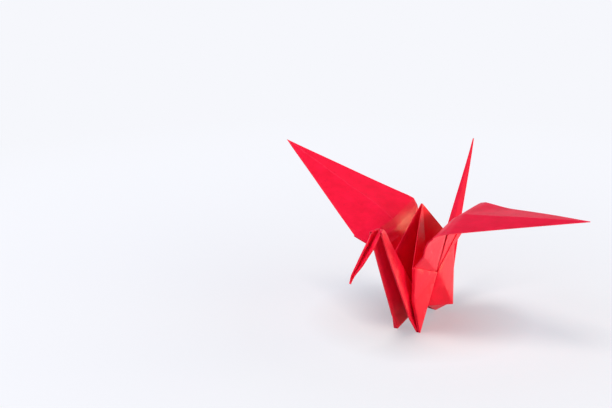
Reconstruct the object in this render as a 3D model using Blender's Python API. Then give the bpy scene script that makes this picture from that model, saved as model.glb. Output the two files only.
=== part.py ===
"""Paper crane folded from one square sheet, in metres, +Z up.

The sheet is worked out flat first, as a folder creases it: bird base, narrowed legs, then the
legs turned up inside as neck and tail. Every panel then takes its own layer, the body is opened
and the wings are bent down. The crane looks along -Y. It stands on its two front feet and on the
lower end of the tail's crease, which is pulled out a little, as it is when the wings are opened: the
tail's corners hang above the floor.
"""
import math

import bmesh
import bpy
from mathutils import Vector

RIGHT, LEFT = 1, -1
NECK, TAIL = -1, 1

# Sheet
PAPER_SIDE = 0.150
PAPER_THICKNESS = 0.00008
LAYER_STEP = 0.00014
NECK_LAYER_STEP = 0.00012
FOLD_INSET = 0.00016

# Folds that the folder chooses, as distances from the tip of a leg
FOOT_DISTANCE = 0.0632
CROTCH_DISTANCE = 0.0680
ANKLE_DISTANCE = 0.0570
HEAD_FRONT_DISTANCE = 0.0158
HEAD_BACK_DISTANCE = 0.0186

# Opening of the body: half widths of its innermost layer
TOP_HALF_WIDTH = 0.00015
TOP_DROP = 0.0014
EDGE_DROP = 0.0010
RIGHT_FRONT_EDGE_TUCK = 0.0013
CROTCH_HALF_WIDTH = 0.00100
CROTCH_FLAP_HALF_WIDTH = 0.00160
EDGE_HALF_WIDTH = 0.0043
POCKET_HALF_WIDTH = 0.0027
WAIST_HALF_WIDTH = 0.0054
SLIT_HALF_WIDTH_AT_WAIST = 0.00035
SLIT_HALF_WIDTH_AT_CROTCH = 0.0009
SLIT_HALF_WIDTH_AT_WING = 0.0011
SLIT_HALF_WIDTH_AT_TIP = 0.0001

# Feet: each corner is spread by itself, and those of the tail hang above the floor
RIGHT_FRONT_FOOT_HALF_WIDTH = 0.0046
LEFT_FRONT_FOOT_HALF_WIDTH = 0.0032
RIGHT_TAIL_FOOT_HALF_WIDTH = 0.0064
LEFT_TAIL_FOOT_HALF_WIDTH = 0.0030
RIGHT_TAIL_FOOT_LIFT = 0.0025
LEFT_TAIL_FOOT_LIFT = 0.0008

# Neck, head and tail
NECK_SPINE_HALF_WIDTH = 0.00015
NECK_FRONT_HALF_WIDTH = 0.0017
ANKLE_HALF_WIDTH = 0.0034
RIGHT_NECK_ANKLE_TUCK = 0.0007
HEAD_SWING = 0.0039
TAIL_KEEL_REACH = 0.0103
TAIL_KEEL_SWING = 0.0017
TAIL_LAYER_STEP = 0.00005

# Wings: lean of the root from upright, rise and sweep of the span, and the soft bend between them
RIGHT_WING_LEAN_DEG = 12.7
RIGHT_WING_RISE_DEG = 7.8
RIGHT_WING_SWEEP_DEG = -3.0
RIGHT_WING_BEND_START = 0.0144
RIGHT_WING_BEND_SKEW = 0.03
RIGHT_WING_TIP_CUT = 0.0010
LEFT_WING_LEAN_DEG = 13.2
LEFT_WING_RISE_DEG = 23.7
LEFT_WING_SWEEP_DEG = 13.2
LEFT_WING_BEND_START = 0.0117
LEFT_WING_BEND_SKEW = 0.17
LEFT_WING_TIP_CUT = 0.0002
WING_BEND_RADIUS = 0.0084
WING_RIDGE_LIFT = 0.0017
WING_FLAP_DROP = 0.0006
WING_LINES_BELOW_ROOT = (0.0112, 0.0144, 0.0173)
WING_LINES_ABOVE_ROOT = (0.0021, 0.0045, 0.0170)

# Look of the paper
PAPER_COLOUR = (0.80, 0.022, 0.030, 1.0)
PAPER_ROUGHNESS = 0.62

HALF_SIDE = PAPER_SIDE / 2
KITE_SLOPE = math.tan(math.radians(22.5))
LEG_SLOPE = math.tan(math.radians(11.25))
WAIST_HEIGHT = HALF_SIDE / math.cos(math.radians(22.5))


def crossing(top, side_slope):
    """Where the leg's folded edge meets the line that runs down from a point of the middle line."""
    height = side_slope * top / (LEG_SLOPE + side_slope)
    return (LEG_SLOPE * height, height)


def flat_pattern():
    """Places of the creases in the flat fold: distance from the middle line, height from the leg tips."""
    return {
        "top": (0.0, HALF_SIDE * math.sqrt(2)),
        "leg_tip": (0.0, 0.0),
        "waist": (0.0, WAIST_HEIGHT),
        "pocket": (0.0, HALF_SIDE),
        "edge": crossing(HALF_SIDE * math.sqrt(2), 1.0),
        "edge_low": (LEG_SLOPE * HALF_SIDE, HALF_SIDE),
        "wing_corner": crossing(2 * HALF_SIDE, KITE_SLOPE),
        "foot": (LEG_SLOPE * FOOT_DISTANCE, FOOT_DISTANCE),
        "crotch": (0.0, CROTCH_DISTANCE),
        "ankle": (LEG_SLOPE * ANKLE_DISTANCE, ANKLE_DISTANCE),
        "head_front": (LEG_SLOPE * HEAD_FRONT_DISTANCE, HEAD_FRONT_DISTANCE),
        "head_back": (0.0, HEAD_BACK_DISTANCE),
    }


FLAT = flat_pattern()
ROOT_RUN = FLAT["wing_corner"][1] - WAIST_HEIGHT
TIP_RUN = 2 * HALF_SIDE - WAIST_HEIGHT


def mirrored(point, line_start, line_end):
    """Fold a flat point over the line through two others."""
    start = Vector(line_start)
    along = (Vector(line_end) - start).normalized()
    reach = Vector(point) - start
    return start + 2 * reach.dot(along) * along - reach


# Layers of one side from the middle plane outwards. Each reverse fold turns their order round
BODY_LAYER = {"inner": 0, "roof": 1, "wing_top": 2, "wing_flap": 3, "raw_flap": 4,
              "top_flap": 5, "roof_flap": 6, "outer": 7}
NECK_LAYER = {"outer": 0, "raw_flap": 1, "wing_flap": 2, "inner": 3}
HEAD_LAYER = {"inner": 0, "wing_flap": 1, "raw_flap": 2, "outer": 3}
# How many folds wrap round each layer's own fold, which is drawn in by as many steps
EDGE_NEST = {"inner": 0, "outer": 0, "roof": 1, "roof_flap": 1, "wing_top": 2, "top_flap": 2,
             "wing_flap": 3, "raw_flap": 3}
CROTCH_NEST = {"outer": 0, "raw_flap": 1, "wing_flap": 2, "inner": 3}
HEAD_NEST = {"inner": 0, "wing_flap": 1, "raw_flap": 2, "outer": 3}
HAS_SLIT = ("wing_flap", "raw_flap", "top_flap", "roof_flap", "outer")

BODY_HALF_WIDTH = {
    "top": TOP_HALF_WIDTH,
    "crotch": CROTCH_FLAP_HALF_WIDTH,
    "edge": EDGE_HALF_WIDTH,
    "pocket": POCKET_HALF_WIDTH,
    "waist": WAIST_HALF_WIDTH,
}
FOOT_HALF_WIDTH = {
    (RIGHT, NECK): RIGHT_FRONT_FOOT_HALF_WIDTH,
    (LEFT, NECK): LEFT_FRONT_FOOT_HALF_WIDTH,
    (RIGHT, TAIL): RIGHT_TAIL_FOOT_HALF_WIDTH,
    (LEFT, TAIL): LEFT_TAIL_FOOT_HALF_WIDTH,
}
ON_EDGE = ("foot", "edge_low", "edge", "ankle", "head_front")
OPENING_DROP = {"top": TOP_DROP, "edge": EDGE_DROP}
SLIT = {"crotch": SLIT_HALF_WIDTH_AT_CROTCH, "waist": SLIT_HALF_WIDTH_AT_WAIST}


def nested(name, layer):
    """Flat place of a crease point, drawn in by the folds that wrap round this layer."""
    reach, height = FLAT[name]
    if name in ON_EDGE:
        reach -= FOLD_INSET * EDGE_NEST[layer]
    elif layer in HAS_SLIT:
        reach += SLIT.get(name, 0.0)
    if name in ("foot", "crotch", "ankle"):
        height += FOLD_INSET * CROTCH_NEST[layer]
    if name in ("head_front", "head_back"):
        height += FOLD_INSET * HEAD_NEST[layer]
    return reach, height


def foot_lift(side, end):
    """How far a foot hangs above the floor."""
    if end == NECK:
        return 0.0
    return RIGHT_TAIL_FOOT_LIFT if side == RIGHT else LEFT_TAIL_FOOT_LIFT


def tail_keel(layer, side):
    """Lower end of the tail's crease, on the floor."""
    reach = TAIL_KEEL_REACH - TAIL_LAYER_STEP * NECK_LAYER[layer]
    height = FOLD_INSET * CROTCH_NEST[layer]
    return Vector((side * NECK_SPINE_HALF_WIDTH + TAIL_KEEL_SWING, reach, height))


def body_point(name, layer, side, end):
    """A point of the opened body."""
    if (name, layer, end) == ("crotch", "inner", TAIL):
        return tail_keel(layer, side)
    reach, height = nested(name, layer)
    if name == "foot":
        half_width = FOOT_HALF_WIDTH[side, end]
        height += foot_lift(side, end)
    elif name == "edge_low":
        # On the edge between the foot and the shoulder, drawn in a little where the body is pinched
        share = (FLAT["edge"][1] - FLAT["edge_low"][1]) / (FLAT["edge"][1] - FOOT_DISTANCE)
        half_width = (1 - share) * EDGE_HALF_WIDTH + share * FOOT_HALF_WIDTH[side, end]
        height += share * foot_lift(side, end) - (1 - share) * EDGE_DROP
        if (side, end) == (RIGHT, NECK):
            half_width -= RIGHT_FRONT_EDGE_TUCK
    elif name == "crotch" and layer == "inner":
        half_width = CROTCH_HALF_WIDTH
    else:
        half_width = BODY_HALF_WIDTH[name]
    if name != "crotch" or layer != "inner":
        half_width += LAYER_STEP * BODY_LAYER[layer]
    height -= OPENING_DROP.get(name, 0.0)
    return Vector((side * half_width, end * reach, height - FOOT_DISTANCE))


# Shape of each wing's section, which the span directions below follow
WING = {
    RIGHT: {
        "lean": math.radians(RIGHT_WING_LEAN_DEG),
        "rise": math.radians(RIGHT_WING_RISE_DEG),
        "sweep": math.radians(RIGHT_WING_SWEEP_DEG),
        "bend_start": RIGHT_WING_BEND_START,
        "bend_skew": RIGHT_WING_BEND_SKEW,
        "tip_cut": RIGHT_WING_TIP_CUT,
    },
    LEFT: {
        "lean": math.radians(LEFT_WING_LEAN_DEG),
        "rise": math.radians(LEFT_WING_RISE_DEG),
        "sweep": math.radians(LEFT_WING_SWEEP_DEG),
        "bend_start": LEFT_WING_BEND_START,
        "bend_skew": LEFT_WING_BEND_SKEW,
        "tip_cut": LEFT_WING_TIP_CUT,
    },
}


def wing_runs(side):
    """Distances above the waist, along the paper, of the lines that divide a wing into strips."""
    return (*WING_LINES_BELOW_ROOT, ROOT_RUN, *[ROOT_RUN + step for step in WING_LINES_ABOVE_ROOT],
            TIP_RUN - WING[side]["tip_cut"])


def wing_outline(run):
    """Flat distance from the middle line to the wing's edge, at a distance above the waist."""
    return min(LEG_SLOPE * (WAIST_HEIGHT + run), KITE_SLOPE * (TIP_RUN - run))


def ridge_rise(run):
    """How far the wing's middle crease stands above its edges."""
    foot = WING_LINES_BELOW_ROOT[0]
    crest = ROOT_RUN + WING_LINES_ABOVE_ROOT[1]
    if run <= crest:
        return WING_RIDGE_LIFT * max(run - foot, 0.0) / (crest - foot)
    return WING_RIDGE_LIFT * (TIP_RUN - run) / (TIP_RUN - crest)


def slit_half_width(run):
    """Half the gap between the raw edges that meet on the underside of the wing."""
    if run <= ROOT_RUN:
        share = run / ROOT_RUN
        return (1 - share) * SLIT_HALF_WIDTH_AT_WAIST + share * SLIT_HALF_WIDTH_AT_WING
    share = (run - ROOT_RUN) / (TIP_RUN - ROOT_RUN)
    return (1 - share) * SLIT_HALF_WIDTH_AT_WING + share * SLIT_HALF_WIDTH_AT_TIP


def wing_point(spot, layer, side, end):
    """A point of the wing: spot is the number of its strip line, and middle, fold or edge on it."""
    line, where = spot
    run = wing_runs(side)[line]
    rise = 0.0
    if where == "middle":
        reach = slit_half_width(run) if layer in HAS_SLIT else 0.0
        rise = ridge_rise(run)
        if layer in HAS_SLIT:
            rise = -WING_FLAP_DROP * min(run / ROOT_RUN, 1.0) * (TIP_RUN - run) / TIP_RUN
    elif where == "fold":
        # On the folded edge that runs from the waist to the wing's corner
        reach = FLAT["wing_corner"][0] * run / ROOT_RUN + slit_half_width(0.0) * (1 - run / ROOT_RUN)
        reach -= FOLD_INSET * EDGE_NEST[layer] * run / ROOT_RUN
    else:
        reach = max(wing_outline(run) - FOLD_INSET * EDGE_NEST[layer], 0.0)
    shape = WING[side]
    turn = math.pi / 2 - shape["lean"] - shape["rise"]
    start = shape["bend_start"] + shape["bend_skew"] * end * reach
    bent = min(max(run - start, 0.0), WING_BEND_RADIUS * turn)
    angle = shape["lean"] + bent / WING_BEND_RADIUS
    before = min(run, start)
    after = max(run - start - WING_BEND_RADIUS * turn, 0.0)
    out = before * math.sin(shape["lean"]) + after * math.sin(angle)
    out += WING_BEND_RADIUS * (math.cos(shape["lean"]) - math.cos(angle))
    up = before * math.cos(shape["lean"]) + after * math.cos(angle)
    up += WING_BEND_RADIUS * (math.sin(angle) - math.sin(shape["lean"]))
    below = LAYER_STEP * BODY_LAYER[layer] - rise
    out += WAIST_HALF_WIDTH + below * math.cos(angle)
    up += WAIST_HEIGHT - FOOT_DISTANCE - below * math.sin(angle)
    sideways = after * math.tan(shape["sweep"])
    return Vector((side * out, end * reach + sideways, up))


def leg_point(name, layer, side, end):
    """A point of the neck or the tail: the leg folded up over the line from crotch to foot."""
    if name == "crotch" and end == TAIL:
        return tail_keel(layer, side)
    reach, height = nested(name, layer)
    if name in ("crotch", "head_back") and layer != "inner":
        reach = SLIT_HALF_WIDTH_AT_WAIST
    lift = FOLD_INSET * CROTCH_NEST[layer] if name != "leg_tip" else 0.0
    crotch = (0.0, CROTCH_DISTANCE + lift)
    foot = (LEG_SLOPE * FOOT_DISTANCE, FOOT_DISTANCE + lift)
    reach, height = mirrored((reach, height), crotch, foot)
    half_width = {
        "crotch": NECK_SPINE_HALF_WIDTH,
        "foot": FOOT_HALF_WIDTH[side, end] - 4 * NECK_LAYER_STEP,
        "ankle": ANKLE_HALF_WIDTH,
        "head_front": NECK_FRONT_HALF_WIDTH,
        "head_back": NECK_SPINE_HALF_WIDTH + 4 * NECK_LAYER_STEP,
        "leg_tip": NECK_SPINE_HALF_WIDTH,
    }[name]
    if name == "foot":
        height += foot_lift(side, end)
    if name == "ankle" and side == RIGHT:
        half_width -= RIGHT_NECK_ANKLE_TUCK
    if end == NECK:
        half_width += NECK_LAYER_STEP * NECK_LAYER[layer]
    else:
        # The tail is spread so wide that its layers lie one before the other
        reach -= TAIL_LAYER_STEP * NECK_LAYER[layer]
    return Vector((side * half_width, end * reach, height - FOOT_DISTANCE))


def head_point(name, layer, side):
    """A point of the head: the neck's end folded down once more between its own layers."""
    reach, height = nested(name, layer)
    if name == "head_back" and layer != "inner":
        reach = SLIT_HALF_WIDTH_AT_WAIST
    lift = Vector((0.0, FOLD_INSET * HEAD_NEST[layer] if name != "leg_tip" else 0.0))
    head_back = Vector(FLAT["head_back"]) + lift
    head_front = Vector(FLAT["head_front"]) + lift
    reach, height = mirrored((reach, height), head_back, head_front)
    lift = Vector((0.0, FOLD_INSET * CROTCH_NEST[layer] if name != "leg_tip" else 0.0))
    crotch = Vector(FLAT["crotch"]) + lift
    foot = Vector(FLAT["foot"]) + lift
    reach, height = mirrored((reach, height), crotch, foot)
    half_width = {
        "head_front": NECK_FRONT_HALF_WIDTH - 4 * NECK_LAYER_STEP,
        "head_back": NECK_SPINE_HALF_WIDTH,
        "leg_tip": NECK_SPINE_HALF_WIDTH,
    }[name]
    half_width += NECK_LAYER_STEP * HEAD_LAYER[layer]
    swing = -HEAD_SWING if name == "leg_tip" else 0.0
    return Vector((side * half_width + swing, NECK * reach, height - FOOT_DISTANCE))


def place(part, name, layer, side, end):
    """A point of any part of the crane, in the middle of the paper's thickness."""
    if part == "head":
        point = head_point(name, layer, side)
    elif part == "leg":
        point = leg_point(name, layer, side, end)
    elif isinstance(name, tuple):
        point = wing_point(name, layer, side, end)
    else:
        point = body_point(name, layer, side, end)
    return point + Vector((0.0, 0.0, PAPER_THICKNESS / 2))


# Lines on which the wing's root corner and its tip lie
ROOT_LINE = len(WING_LINES_BELOW_ROOT)
TIP_LINE = ROOT_LINE + len(WING_LINES_ABOVE_ROOT) + 1


def strips(inner, outer, first, last):
    """Panels between two rows of points of a wing layer, from one of its lines to another."""
    panels = []
    for line in range(first, last):
        panels.append(((line, inner), (line, outer), (line + 1, outer)))
        panels.append(((line, inner), (line + 1, outer), (line + 1, inner)))
    return panels


def flap_strips():
    """Panels between the edge and the fold line, which runs from the waist to the wing's corner."""
    start = [("waist", "edge", (0, "edge")), ("waist", (0, "edge"), (0, "fold"))]
    corner = ((ROOT_LINE - 1, "fold"), (ROOT_LINE - 1, "edge"), (ROOT_LINE, "edge"))
    return [*start, *strips("fold", "edge", 0, ROOT_LINE - 1), corner]


def middle_strips():
    """Panels between the fold line and the middle, and then the wing up to its tip."""
    corner = ((ROOT_LINE - 1, "middle"), (ROOT_LINE - 1, "fold"), (ROOT_LINE, "edge"))
    root = ((ROOT_LINE - 1, "middle"), (ROOT_LINE, "edge"), (ROOT_LINE, "middle"))
    return [("waist", (0, "fold"), (0, "middle")), *strips("middle", "fold", 0, ROOT_LINE - 1),
            corner, root, *strips("middle", "edge", ROOT_LINE, TIP_LINE)]


# Panels of one quarter of the sheet, layer by layer, by their corners
SIDE_PANELS = [("crotch", "foot", "waist"), ("foot", "edge_low", "waist"), ("edge_low", "edge", "waist")]
BODY_PANELS = {
    "inner": [("crotch", "foot", "edge_low"), ("crotch", "edge_low", "edge"), ("crotch", "edge", "top")],
    "roof": [("top", "pocket", "edge"), ("pocket", "edge_low", "edge")],
    "wing_top": [("pocket", "edge_low", "waist"), ("edge_low", "edge", "waist"),
                 *flap_strips(), *middle_strips()],
    "wing_flap": [*SIDE_PANELS, *flap_strips(), *middle_strips()],
    "raw_flap": [*SIDE_PANELS, *flap_strips()],
    "top_flap": [("edge_low", "edge", "waist"), *flap_strips()],
    "roof_flap": [("edge_low", "edge", "waist")],
    "outer": SIDE_PANELS,
}
CORNER_RUN = ["edge"] + [(line, "edge") for line in range(ROOT_LINE + 1)]
FLAP_RUN = ["waist"] + [(line, "fold") for line in range(ROOT_LINE)] + [(ROOT_LINE, "edge")]
TIP_RUN_LINES = [(line, "edge") for line in range(ROOT_LINE, TIP_LINE + 1)]
# Folds between two layers, each along a run of crease points
BODY_FOLDS = (
    ("inner", "roof", ["top", "edge"]),
    ("inner", "outer", ["edge", "edge_low", "foot"]),
    ("roof", "roof_flap", ["edge", "edge_low"]),
    ("wing_top", "top_flap", ["edge_low"] + CORNER_RUN),
    ("wing_flap", "raw_flap", ["foot", "edge_low"] + CORNER_RUN),
    ("outer", "roof_flap", ["edge", "waist"]),
    ("roof_flap", "top_flap", ["edge_low", "waist"]),
    ("top_flap", "raw_flap", FLAP_RUN),
    ("raw_flap", "outer", ["waist", "crotch"]),
    ("roof", "wing_top", ["pocket", "edge_low"]),
    ("wing_top", "wing_flap", TIP_RUN_LINES),
)
LEG_LAYERS = ("inner", "wing_flap", "raw_flap", "outer")
LEG_FOLDS = (("inner", "outer", "front"), ("wing_flap", "raw_flap", "front"), ("raw_flap", "outer", "back"))
LEG_PANELS = {
    NECK: [("crotch", "foot", "ankle"), ("crotch", "ankle", "head_front"),
           ("crotch", "head_front", "head_back")],
    TAIL: [("crotch", "foot", "leg_tip")],
}
LEG_RUNS = {
    (NECK, "front"): ["foot", "ankle", "head_front"],
    (NECK, "back"): ["crotch", "head_back"],
    (TAIL, "front"): ["foot", "leg_tip"],
    (TAIL, "back"): ["crotch", "leg_tip"],
}


def paper_bead():
    """Corners of the small solid that gives every panel its thickness and its soft edges."""
    radius = PAPER_THICKNESS / 2
    corners = []
    for direction in (Vector((1, 0, 0)), Vector((0, 1, 0)), Vector((0, 0, 1))):
        corners.append(radius * direction)
        corners.append(-radius * direction)
    return corners


BEAD = paper_bead()


def add_panel(panels, corners):
    """One flat panel of paper: the solid that a bead sweeps over its corners."""
    mesh = bmesh.new()
    for corner in corners:
        for offset in BEAD:
            mesh.verts.new(corner + offset)
    bmesh.ops.remove_doubles(mesh, verts=mesh.verts, dist=1e-7)
    hull = bmesh.ops.convex_hull(mesh, input=mesh.verts)
    spare = [item for item in hull["geom_interior"] if isinstance(item, bmesh.types.BMVert)]
    bmesh.ops.delete(mesh, geom=spare, context="VERTS")
    bmesh.ops.recalc_face_normals(mesh, faces=mesh.faces)
    panels.append(mesh)


def add_fold(panels, first, second):
    """The narrow turn of paper between two layers, along the run of points that they share."""
    for start in range(len(first) - 1):
        add_panel(panels, (first[start], first[start + 1], second[start]))
        add_panel(panels, (first[start + 1], second[start + 1], second[start]))


def add_body_quarter(panels, side, end):
    """Body and wing half between one wing and the neck or the tail."""
    for layer, shapes in BODY_PANELS.items():
        for names in shapes:
            add_panel(panels, [place("body", name, layer, side, end) for name in names])
    for first, second, names in BODY_FOLDS:
        add_fold(panels,
                 [place("body", name, first, side, end) for name in names],
                 [place("body", name, second, side, end) for name in names])


def add_leg_half(panels, side, end):
    """One side of the neck or the tail, with the folds that join it to the body."""
    for layer in LEG_LAYERS:
        for names in LEG_PANELS[end]:
            add_panel(panels, [place("leg", name, layer, side, end) for name in names])
        add_fold(panels,
                 [place("leg", name, layer, side, end) for name in ("crotch", "foot")],
                 [place("body", name, layer, side, end) for name in ("crotch", "foot")])
    for first, second, where in LEG_FOLDS:
        names = LEG_RUNS[end, where]
        add_fold(panels,
                 [place("leg", name, first, side, end) for name in names],
                 [place("leg", name, second, side, end) for name in names])


def add_head_half(panels, side):
    """One side of the head."""
    for layer in LEG_LAYERS:
        corners = [place("head", name, layer, side, NECK) for name in ("head_back", "head_front", "leg_tip")]
        add_panel(panels, corners)
        neck_edge = [place("leg", name, layer, side, NECK) for name in ("head_back", "head_front")]
        add_fold(panels, neck_edge, corners[:2])
    for first, second, where in LEG_FOLDS:
        names = ("head_front", "leg_tip") if where == "front" else ("head_back", "leg_tip")
        add_fold(panels,
                 [place("head", name, first, side, NECK) for name in names],
                 [place("head", name, second, side, NECK) for name in names])


def add_spine(panels, part, names, end):
    """The crease in the middle plane, where the right and the left half meet."""
    right = [place(part, name, "inner", RIGHT, end) for name in names]
    left = [place(part, name, "inner", LEFT, end) for name in names]
    add_fold(panels, right, left)


def crane_panels():
    """All panels and folds of the sheet."""
    panels = []
    for end in (NECK, TAIL):
        for side in (RIGHT, LEFT):
            add_body_quarter(panels, side, end)
            add_leg_half(panels, side, end)
        add_spine(panels, "body", ("top", "crotch"), end)
        add_spine(panels, "leg", ("crotch", "head_back" if end == NECK else "leg_tip"), end)
    for side in (RIGHT, LEFT):
        add_head_half(panels, side)
    add_spine(panels, "head", ("head_back", "leg_tip"), NECK)
    return panels


def paper_material():
    """Uncoated dyed paper."""
    material = bpy.data.materials.new("red_paper")
    material.use_nodes = True
    shader = material.node_tree.nodes["Principled BSDF"]
    shader.inputs["Base Color"].default_value = PAPER_COLOUR
    shader.inputs["Roughness"].default_value = PAPER_ROUGHNESS
    shader.inputs["Metallic"].default_value = 0.0
    return material


def clear_scene():
    """Start from an empty scene."""
    for item in list(bpy.data.objects):
        bpy.data.objects.remove(item, do_unlink=True)


def shut_in_faces(mesh):
    """Faces round the air that layers pressed together would shut in: closed shells that face inwards."""
    seen = set()
    shut_in = []
    for first in mesh.faces:
        if first in seen:
            continue
        seen.add(first)
        shell = [first]
        for face in shell:
            for edge in face.edges:
                for other in edge.link_faces:
                    if other not in seen:
                        seen.add(other)
                        shell.append(other)
        volume = sum(face.verts[0].co.dot(face.normal) * face.calc_area() for face in shell)
        if volume < 0.0:
            shut_in.extend(shell)
    return shut_in


def press_layers(sheet):
    """Turn the joined sheet into a mesh without the air between layers that touch all round."""
    mesh = bmesh.new()
    mesh.from_object(sheet, bpy.context.evaluated_depsgraph_get())
    bmesh.ops.delete(mesh, geom=shut_in_faces(mesh), context="FACES")
    sheet.modifiers.clear()
    mesh.to_mesh(sheet.data)
    mesh.free()


def build_crane():
    """Join all panels into the one sheet."""
    tools = bpy.data.collections.new("panels")
    bpy.context.scene.collection.children.link(tools)
    sheet = None
    for number, shape in enumerate(crane_panels()):
        mesh = bpy.data.meshes.new("panel")
        shape.to_mesh(mesh)
        shape.free()
        if sheet is None:
            sheet = bpy.data.objects.new("folded_sheet", mesh)
            bpy.context.scene.collection.objects.link(sheet)
            continue
        panel = bpy.data.objects.new(f"panel_{number:03d}", mesh)
        panel.hide_render = True
        panel.display_type = "WIRE"
        tools.objects.link(panel)
    joined = sheet.modifiers.new("joined", "BOOLEAN")
    joined.operation = "UNION"
    joined.operand_type = "COLLECTION"
    joined.collection = tools
    joined.solver = "EXACT"
    sheet.data.materials.append(paper_material())
    press_layers(sheet)
    return sheet


clear_scene()
build_crane()
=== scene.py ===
"""Red paper crane on a pale table, in soft studio light."""
import math

import bmesh
import bpy
from mathutils import Matrix, Vector, geometry


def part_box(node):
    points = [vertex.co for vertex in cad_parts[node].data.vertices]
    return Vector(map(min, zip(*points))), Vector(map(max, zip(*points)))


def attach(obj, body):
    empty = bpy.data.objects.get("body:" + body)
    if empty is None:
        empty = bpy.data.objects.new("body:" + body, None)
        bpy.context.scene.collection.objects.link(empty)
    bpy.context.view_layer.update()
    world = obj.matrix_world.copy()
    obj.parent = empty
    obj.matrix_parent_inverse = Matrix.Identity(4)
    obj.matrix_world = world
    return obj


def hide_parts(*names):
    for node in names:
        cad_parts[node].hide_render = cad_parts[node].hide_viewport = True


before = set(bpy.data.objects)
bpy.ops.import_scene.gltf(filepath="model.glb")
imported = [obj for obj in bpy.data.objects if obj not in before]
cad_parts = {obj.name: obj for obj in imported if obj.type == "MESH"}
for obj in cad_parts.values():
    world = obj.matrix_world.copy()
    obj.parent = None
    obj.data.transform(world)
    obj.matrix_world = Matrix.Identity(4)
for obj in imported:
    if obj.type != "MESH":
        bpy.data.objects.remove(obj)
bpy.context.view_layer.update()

# Camera: a short telephoto about 170 mm above the table, in front of the crane and a little round to the
# side of its level wing, with the crane in the right half of the view
PHOTO_WIDTH_PX = 612
FOCAL_PX = 1341.2
SENSOR_WIDTH_MM = 36.0
CAMERA_AZIMUTH = math.radians(-27.94)
CAMERA_ELEVATION = math.radians(16.31)
CAMERA_DISTANCE = 0.4625
CAMERA_TARGET = Vector((-0.0392, -0.0096, 0.0384))

camera_data = bpy.data.cameras.new("camera")
camera_data.sensor_width = SENSOR_WIDTH_MM
camera_data.lens = FOCAL_PX / PHOTO_WIDTH_PX * SENSOR_WIDTH_MM
camera = bpy.data.objects.new("camera", camera_data)
bpy.context.scene.collection.objects.link(camera)
view_direction = Vector((
    math.sin(CAMERA_AZIMUTH) * math.cos(CAMERA_ELEVATION),
    math.cos(CAMERA_AZIMUTH) * math.cos(CAMERA_ELEVATION),
    -math.sin(CAMERA_ELEVATION),
))
camera.location = CAMERA_TARGET - CAMERA_DISTANCE * view_direction
camera.rotation_euler = view_direction.to_track_quat("-Z", "Y").to_euler()
bpy.context.scene.camera = camera
bpy.context.scene.view_settings.view_transform = "Standard"

# The sheet: one square of thin origami paper, red on its outer side, folded by hand into the whole bird.
# Its creases are pressed with a nail, and between them the panels keep a slight spring. Nothing is cut or
# glued: the layers hold each other.
MERGE_DISTANCE = 1e-6
GRID_STEP = 0.0025


def srgb(hex_colour):
    """A hex colour as linear red, green, blue and alpha."""
    channels = [int(hex_colour[start:start + 2], 16) / 255 for start in (1, 3, 5)]
    linear = [c / 12.92 if c <= 0.04045 else ((c + 0.055) / 1.055) ** 2.4 for c in channels]
    return (*linear, 1.0)


def node(tree, kind, settings=None, links=None):
    """Add a shader node, set its properties and inputs, and link its inputs."""
    made = tree.nodes.new(kind)
    for name, value in (settings or {}).items():
        if isinstance(name, int) or name in made.inputs:
            made.inputs[name].default_value = value
        else:
            setattr(made, name, value)
    for name, source in (links or {}).items():
        tree.links.new(source, made.inputs[name])
    return made


for item in bpy.context.selected_objects:
    item.select_set(False)
sheet_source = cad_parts["folded_sheet"]
sheet = sheet_source.copy()
sheet.data = sheet_source.data.copy()
sheet.name = "paper_crane"
bpy.context.scene.collection.objects.link(sheet)
sheet.select_set(True)
bpy.context.view_layer.objects.active = sheet

# Joined into one surface and cut along an even grid, so that its flat panels can bow
low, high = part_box("folded_sheet")
bpy.ops.object.mode_set(mode="EDIT")
bpy.ops.mesh.select_all(action="SELECT")
bpy.ops.mesh.remove_doubles(threshold=MERGE_DISTANCE)
for axis in range(3):
    normal = [0.0, 0.0, 0.0]
    normal[axis] = 1.0
    for count in range(1, int((high[axis] - low[axis]) / GRID_STEP) + 1):
        place = [0.0, 0.0, 0.0]
        place[axis] = low[axis] + count * GRID_STEP
        bpy.ops.mesh.select_all(action="SELECT")
        bpy.ops.mesh.bisect(plane_co=place, plane_no=normal)
bpy.ops.object.mode_set(mode="OBJECT")

# Creases: what bends more than the soft angle is sharp. So are the folds that run out along the wings,
# however flat, while the wings' curl across them stays smooth, as does the bend on each side of the tail's
# foot. Every point on a crease is marked, for its wear and for the painted highlight along its fold.
SOFT_ANGLE = math.radians(24)
WING_ROOT = 0.008
WING_FOLD_ANGLE = math.radians(2)
WING_FOLD_COURSE = 0.8
FLANK_TOP = Vector((0.0063, -0.0004, 0.0180))
FLANK_FOOT = Vector((0.0072, 0.0125, 0.0045))
FLANK_NEAR = 0.0012


def flank_bend(point):
    """The nearest place to a point on the soft bend of its side of the tail's foot."""
    side = Vector((math.copysign(1.0, point.x), 1.0, 1.0))
    return geometry.intersect_point_line(point, FLANK_TOP * side, FLANK_FOOT * side)[0]


bpy.ops.object.shade_smooth_by_angle(angle=SOFT_ANGLE)
surface = bmesh.new()
surface.from_mesh(sheet.data)
creased = surface.verts.layers.float.new("crease")
for edge in surface.edges:
    if len(edge.link_faces) != 2:
        continue
    first, last = (end.co for end in edge.verts)
    along = last - first
    on_wing = min(abs(first.x), abs(last.x)) > WING_ROOT
    outward = abs(along.x) > WING_FOLD_COURSE * along.length
    if on_wing and outward and edge.calc_face_angle(0.0) > WING_FOLD_ANGLE:
        edge.smooth = False
    if all((end - flank_bend(end)).length < FLANK_NEAR for end in (first, last)):
        edge.smooth = True
    if not edge.smooth:
        for end in edge.verts:
            end[creased] = 1.0
surface.to_mesh(sheet.data)
surface.free()

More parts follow.
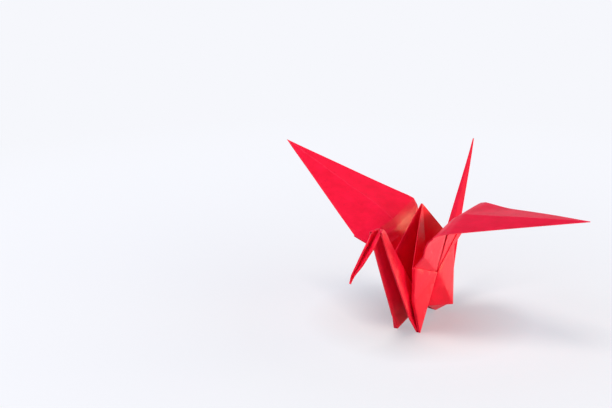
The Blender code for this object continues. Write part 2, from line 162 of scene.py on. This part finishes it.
# Eased as fingers do on the finished bird: the head turned and opened on the neck, its beak pinched and
# bent down, the neck's top and the tail's tip lowered, and the right wing's far corner lifted.
# Each fades in from nothing at one place to all of it at the next.
HEAD = Vector((-0.0022, -0.0410, 0.0350))
HEAD_LENGTHWISE = Vector((0.0043, 0.0083, 0.0147))
HEAD_ACROSS = Vector((0.88, 0.47, 0.0))
HEAD_TURN = math.radians(24)
HEAD_OPENED = 1.32
HEAD_BACK_Y, HEAD_FRONT_Y = -0.0366, -0.0396
BEAK = Vector((-0.0043, -0.0453, 0.0277))
BEAK_PINCHED = 0.45
BEAK_ROOT_Z, BEAK_PINCH_Z = 0.0325, 0.0275
BEAK_BACK_Y = -0.036
BEAK_BEND_Y, BEAK_END_Y = -0.0380, -0.0455
BEAK_SHIFT = Vector((0.0001, 0.0, -0.0012))
NECK_LOW_Z, NECK_TOP_Z = 0.0400, 0.0440
NECK_BACK_Y = -0.025
NECK_SHIFT = Vector((0.0, 0.0, -0.0012))
TAIL_MIDDLE_Y, TAIL_TIP_Y = 0.0250, 0.0450
TAIL_SHIFT = Vector((0.0004, 0.0, -0.0011))
WING_CORNER = Vector((0.0140, 0.0185, 0.0382))
WING_CORNER_REACH = 0.016
WING_CORNER_SHIFT = Vector((0.0008, 0.0, 0.0008))


def rise(value, start, end):
    """How far a value has come from the start to the end, as a share."""
    return (value - start) / (end - start)


def ease(share_at, shift=Vector(), change=Matrix.Identity(3), centre=Vector()):
    """Shift all layers of the paper together, and change them about a centre, by a smooth share."""
    for vertex in sheet.data.vertices:
        share = min(max(share_at(vertex.co), 0.0), 1.0)
        share *= share * (3.0 - 2.0 * share)
        offset = vertex.co - centre
        vertex.co += share * (change @ offset - offset + shift)


ease(lambda point: rise(point.y, HEAD_BACK_Y, HEAD_FRONT_Y), centre=HEAD,
     change=Matrix.Scale(HEAD_OPENED, 3, HEAD_ACROSS) @ Matrix.Rotation(HEAD_TURN, 3, HEAD_LENGTHWISE))
ease(lambda point: rise(point.z, BEAK_ROOT_Z, BEAK_PINCH_Z) if point.y < BEAK_BACK_Y else 0.0, centre=BEAK,
     change=Matrix.Scale(BEAK_PINCHED, 3, HEAD_ACROSS))
ease(lambda point: rise(point.y, BEAK_BEND_Y, BEAK_END_Y), shift=BEAK_SHIFT)
ease(lambda point: rise(point.z, NECK_LOW_Z, NECK_TOP_Z) if point.y < NECK_BACK_Y else 0.0, shift=NECK_SHIFT)
ease(lambda point: rise(point.y, TAIL_MIDDLE_Y, TAIL_TIP_Y), shift=TAIL_SHIFT)
ease(lambda point: rise((point - WING_CORNER).length, WING_CORNER_REACH, 0.0), shift=WING_CORNER_SHIFT)

# The spring of the panels: all layers of a place move together, so none comes through another
SPRING_SIZE = 0.030
SPRING_STRENGTH = 0.0005
for axis in ("X", "Y", "Z"):
    clouds = bpy.data.textures.new("spring_" + axis.lower(), "CLOUDS")
    clouds.noise_scale = SPRING_SIZE
    clouds.noise_depth = 0
    spring = sheet.modifiers.new("spring_" + axis.lower(), "DISPLACE")
    spring.texture = clouds
    spring.texture_coords = "LOCAL"
    spring.direction = axis
    spring.mid_level = 0.5
    spring.strength = SPRING_STRENGTH
    bpy.ops.object.modifier_apply(modifier=spring.name)

# Origami paper: machine-made paper with a smooth red print. The eye sees an even, slightly cloudy red with
# a faint tooth of fibres, a low satin sheen that turns pale at a shallow angle, and paler lines along the
# creases, partly where a crease has cracked the print and partly a painted highlight along the fold. Real
# fibres are about 0.03 mm wide: they are drawn some twenty times coarser, and the tooth with them, so that
# they show.
CLOUD_SIZE = 0.0045
FIBRE_SIZE = 0.0007
TOOTH_SIZE = 0.0004
PRINT_THIN, PRINT_FULL = srgb("#ec1239"), srgb("#fa1642")
FIBRE_PALE, FIBRE_DEEP = srgb("#ff2a55"), srgb("#cf0a34")
# The paler colour of the crease lines: cracked print, and a painted highlight along each fold
CREASE_WEAR_AND_HIGHLIGHT_COLOUR = srgb("#ff3d63")
SHEEN_TINT = srgb("#ff9070")

paper = bpy.data.materials.new("printed_origami_paper")
paper.use_nodes = True
tree = paper.node_tree
shader = tree.nodes["Principled BSDF"]
place = node(tree, "ShaderNodeTexCoord").outputs["Object"]
cloudy = node(tree, "ShaderNodeTexNoise", {"Scale": 1 / CLOUD_SIZE, "Detail": 3.0, "Roughness": 0.55},
              {"Vector": place})
fibres = node(tree, "ShaderNodeTexNoise",
              {"Scale": 1 / FIBRE_SIZE, "Detail": 4.0, "Roughness": 0.65, "Distortion": 1.2},
              {"Vector": place})
tooth = node(tree, "ShaderNodeTexNoise", {"Scale": 1 / TOOTH_SIZE, "Detail": 2.0}, {"Vector": place})

# The print: cloudy, paler on raised fibres, deeper between them
print_depth = node(tree, "ShaderNodeMapRange", {"From Min": 0.32, "From Max": 0.68},
                   {"Value": cloudy.outputs["Fac"]})
print_colour = node(tree, "ShaderNodeMix", {"data_type": "RGBA", 6: PRINT_THIN, 7: PRINT_FULL},
                    {0: print_depth.outputs["Result"]})
raised = node(tree, "ShaderNodeMapRange", {"From Min": 0.55, "From Max": 0.75, "To Max": 0.45},
              {"Value": fibres.outputs["Fac"]})
sunk = node(tree, "ShaderNodeMapRange", {"From Min": 0.45, "From Max": 0.25, "To Max": 0.50},
            {"Value": fibres.outputs["Fac"]})
paler = node(tree, "ShaderNodeMix", {"data_type": "RGBA", 7: FIBRE_PALE},
             {0: raised.outputs["Result"], 6: print_colour.outputs[2]})
mottled = node(tree, "ShaderNodeMix", {"data_type": "RGBA", 7: FIBRE_DEEP},
               {0: sunk.outputs["Result"], 6: paler.outputs[2]})

# The wear and a painted highlight: cracked print and a painted highlight along the fold, in a narrow, broken
# line along each crease
crease = node(tree, "ShaderNodeAttribute", {"attribute_name": "crease"})
crease_line = node(tree, "ShaderNodeMapRange", {"From Min": 0.72, "From Max": 1.0, "To Max": 0.55},
                   {"Value": crease.outputs["Fac"]})
line_breaks = node(tree, "ShaderNodeMapRange", {"From Min": 0.38, "From Max": 0.62, "To Min": 0.25},
              {"Value": fibres.outputs["Fac"]})
# How much of the pale crease colour shows: cracked print and painted highlight along the fold
crease_wear_and_highlight = node(tree, "ShaderNodeMath", {"operation": "MULTIPLY"},
                   {0: crease_line.outputs["Result"], 1: line_breaks.outputs["Result"]})
worn_and_highlighted = node(tree, "ShaderNodeMix", {"data_type": "RGBA", 7: CREASE_WEAR_AND_HIGHLIGHT_COLOUR},
            {0: crease_wear_and_highlight.outputs["Value"], 6: mottled.outputs[2]})
tree.links.new(worn_and_highlighted.outputs[2], shader.inputs["Base Color"])

# The surface: satin, a little rougher on the fibres, with their relief and the fine tooth
satin = node(tree, "ShaderNodeMapRange", {"From Min": 0.3, "From Max": 0.7, "To Min": 0.38, "To Max": 0.52},
             {"Value": fibres.outputs["Fac"]})
tree.links.new(satin.outputs["Result"], shader.inputs["Roughness"])
shader.inputs["IOR"].default_value = 1.5
shader.inputs["Specular Tint"].default_value = SHEEN_TINT
fibre_relief = node(tree, "ShaderNodeBump", {"Strength": 0.25, "Distance": 0.00005},
                    {"Height": fibres.outputs["Fac"]})
grain = node(tree, "ShaderNodeBump", {"Strength": 0.20, "Distance": 0.00003},
             {"Height": tooth.outputs["Fac"], "Normal": fibre_relief.outputs["Normal"]})
tree.links.new(grain.outputs["Normal"], shader.inputs["Normal"])
sheet.data.materials.clear()
sheet.data.materials.append(paper)
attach(sheet, "root")
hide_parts("folded_sheet")

# The table: a smooth matt board, wide enough to fill the view.
# As a look or a reflection meets it, it is an even white further out, and near the bird it keeps the bird's
# soft, faintly blue shadow, deepest at the feet.
TABLE_SIZE = 6.0
FEET_FROM, FEET_TO = 0.010, 0.040
SHADOW_TO, WHITE_FROM = 0.06, 0.32

bpy.ops.mesh.primitive_plane_add(size=TABLE_SIZE, location=(0.0, 0.0, 0.0))
table = bpy.context.active_object
table.name = "table"
board = bpy.data.materials.new("matt_white_board")
board.use_nodes = True
tree = board.node_tree
board_shader = tree.nodes["Principled BSDF"]
board_shader.inputs["Base Color"].default_value = srgb("#c6c1b8")
board_shader.inputs["Roughness"].default_value = 0.9
board_place = node(tree, "ShaderNodeTexCoord").outputs["Object"]
board_reach = node(tree, "ShaderNodeVectorMath", {"operation": "LENGTH"}, {0: board_place}).outputs["Value"]

# How much of the even white shows, from the feet outwards
beyond_feet = node(tree, "ShaderNodeMapRange",
                   {"From Min": FEET_FROM, "From Max": FEET_TO, "To Min": 0.30, "To Max": 0.50},
                   {"Value": board_reach})
beyond_shadow = node(tree, "ShaderNodeMapRange",
                     {"From Min": SHADOW_TO, "From Max": WHITE_FROM, "To Max": 0.50}, {"Value": board_reach})
evenness = node(tree, "ShaderNodeMath", {"operation": "ADD"},
                {0: beyond_feet.outputs["Result"], 1: beyond_shadow.outputs["Result"]})
ray = node(tree, "ShaderNodeLightPath")
seen_or_mirrored = node(tree, "ShaderNodeMath", {"operation": "MAXIMUM"},
                        {0: ray.outputs["Is Camera Ray"], 1: ray.outputs["Is Glossy Ray"]})
looked_at = node(tree, "ShaderNodeMath", {"operation": "MAXIMUM"},
                 {0: seen_or_mirrored.outputs["Value"], 1: ray.outputs["Is Transmission Ray"]})
white_share = node(tree, "ShaderNodeMath", {"operation": "MULTIPLY"},
                   {0: looked_at.outputs["Value"], 1: evenness.outputs["Value"]})

# The even white itself: brighter and bluer near the bird, where less of it shows
brightness = node(tree, "ShaderNodeMapRange",
                  {"From Min": SHADOW_TO, "From Max": WHITE_FROM, "To Min": 1.38, "To Max": 1.0},
                  {"Value": board_reach})
further = node(tree, "ShaderNodeMapRange", {"From Min": SHADOW_TO, "From Max": WHITE_FROM},
               {"Value": board_reach})
white = node(tree, "ShaderNodeMix", {"data_type": "RGBA", 6: srgb("#eff4ff"), 7: srgb("#f6f7fc")},
             {0: further.outputs["Result"]})
even_white = node(tree, "ShaderNodeEmission",
                  links={"Color": white.outputs[2], "Strength": brightness.outputs["Result"]})
board_mix = node(tree, "ShaderNodeMixShader",
                 links={0: white_share.outputs["Value"], 1: board_shader.outputs["BSDF"],
                        2: even_white.outputs["Emission"]})
tree.links.new(board_mix.outputs["Shader"], tree.nodes["Material Output"].inputs["Surface"])
table.data.materials.append(board)

# The light: a soft box overhead and towards the front, two dim ones on the left, and two warm, low and wide
# ones on the right, which make the orange of the panels there. Pale air lies along the horizon and darkens
# upwards, so that no haze lies on the wings.
BIRD = Vector((0.0, 0.0, 0.03))


def soft_box(name, place, size, watts, colour):
    """A soft box of a width and height at a place, turned towards the bird."""
    data = bpy.data.lights.new(name, "AREA")
    data.shape = "RECTANGLE"
    data.size, data.size_y = size
    data.energy = watts
    data.color = srgb(colour)[:3]
    lamp = bpy.data.objects.new(name, data)
    lamp.location = place
    lamp.rotation_euler = (BIRD - Vector(place)).to_track_quat("-Z", "Y").to_euler()
    bpy.context.scene.collection.objects.link(lamp)


soft_box("top_box", (-0.17, -0.24, 0.95), (0.40, 0.40), 7.4, "#fff9fb")
soft_box("front_left_box", (-0.43, -0.56, 0.70), (0.22, 0.22), 0.8, "#f3f9ff")
soft_box("left_box", (-0.85, -0.45, 0.35), (0.50, 0.50), 1.3, "#b8beff")
soft_box("right_box", (0.96, -0.14, 0.15), (0.80, 0.24), 6.2, "#fff0c4")
soft_box("back_right_box", (0.62, 0.76, 0.13), (0.50, 0.22), 4.2, "#ffe9b0")

world = bpy.data.worlds.new("studio")
world.use_nodes = True
tree = world.node_tree
direction = node(tree, "ShaderNodeTexCoord")
height = node(tree, "ShaderNodeSeparateXYZ", links={"Vector": direction.outputs["Generated"]})
air_strength = node(tree, "ShaderNodeMapRange",
                    {"From Min": 0.08, "From Max": 0.30, "To Min": 1.0, "To Max": 0.08},
                    {"Value": height.outputs["Z"]})
blueness = node(tree, "ShaderNodeMapRange", {"From Min": 0.03, "From Max": 0.15},
                {"Value": height.outputs["Z"]})
air_colour = node(tree, "ShaderNodeMix", {"data_type": "RGBA", 6: srgb("#f6f7fc"), 7: srgb("#d4e4ff")},
                  {0: blueness.outputs["Result"]})
background = tree.nodes["Background"]
tree.links.new(air_colour.outputs[2], background.inputs["Color"])
tree.links.new(air_strength.outputs["Result"], background.inputs["Strength"])
bpy.context.scene.world = world
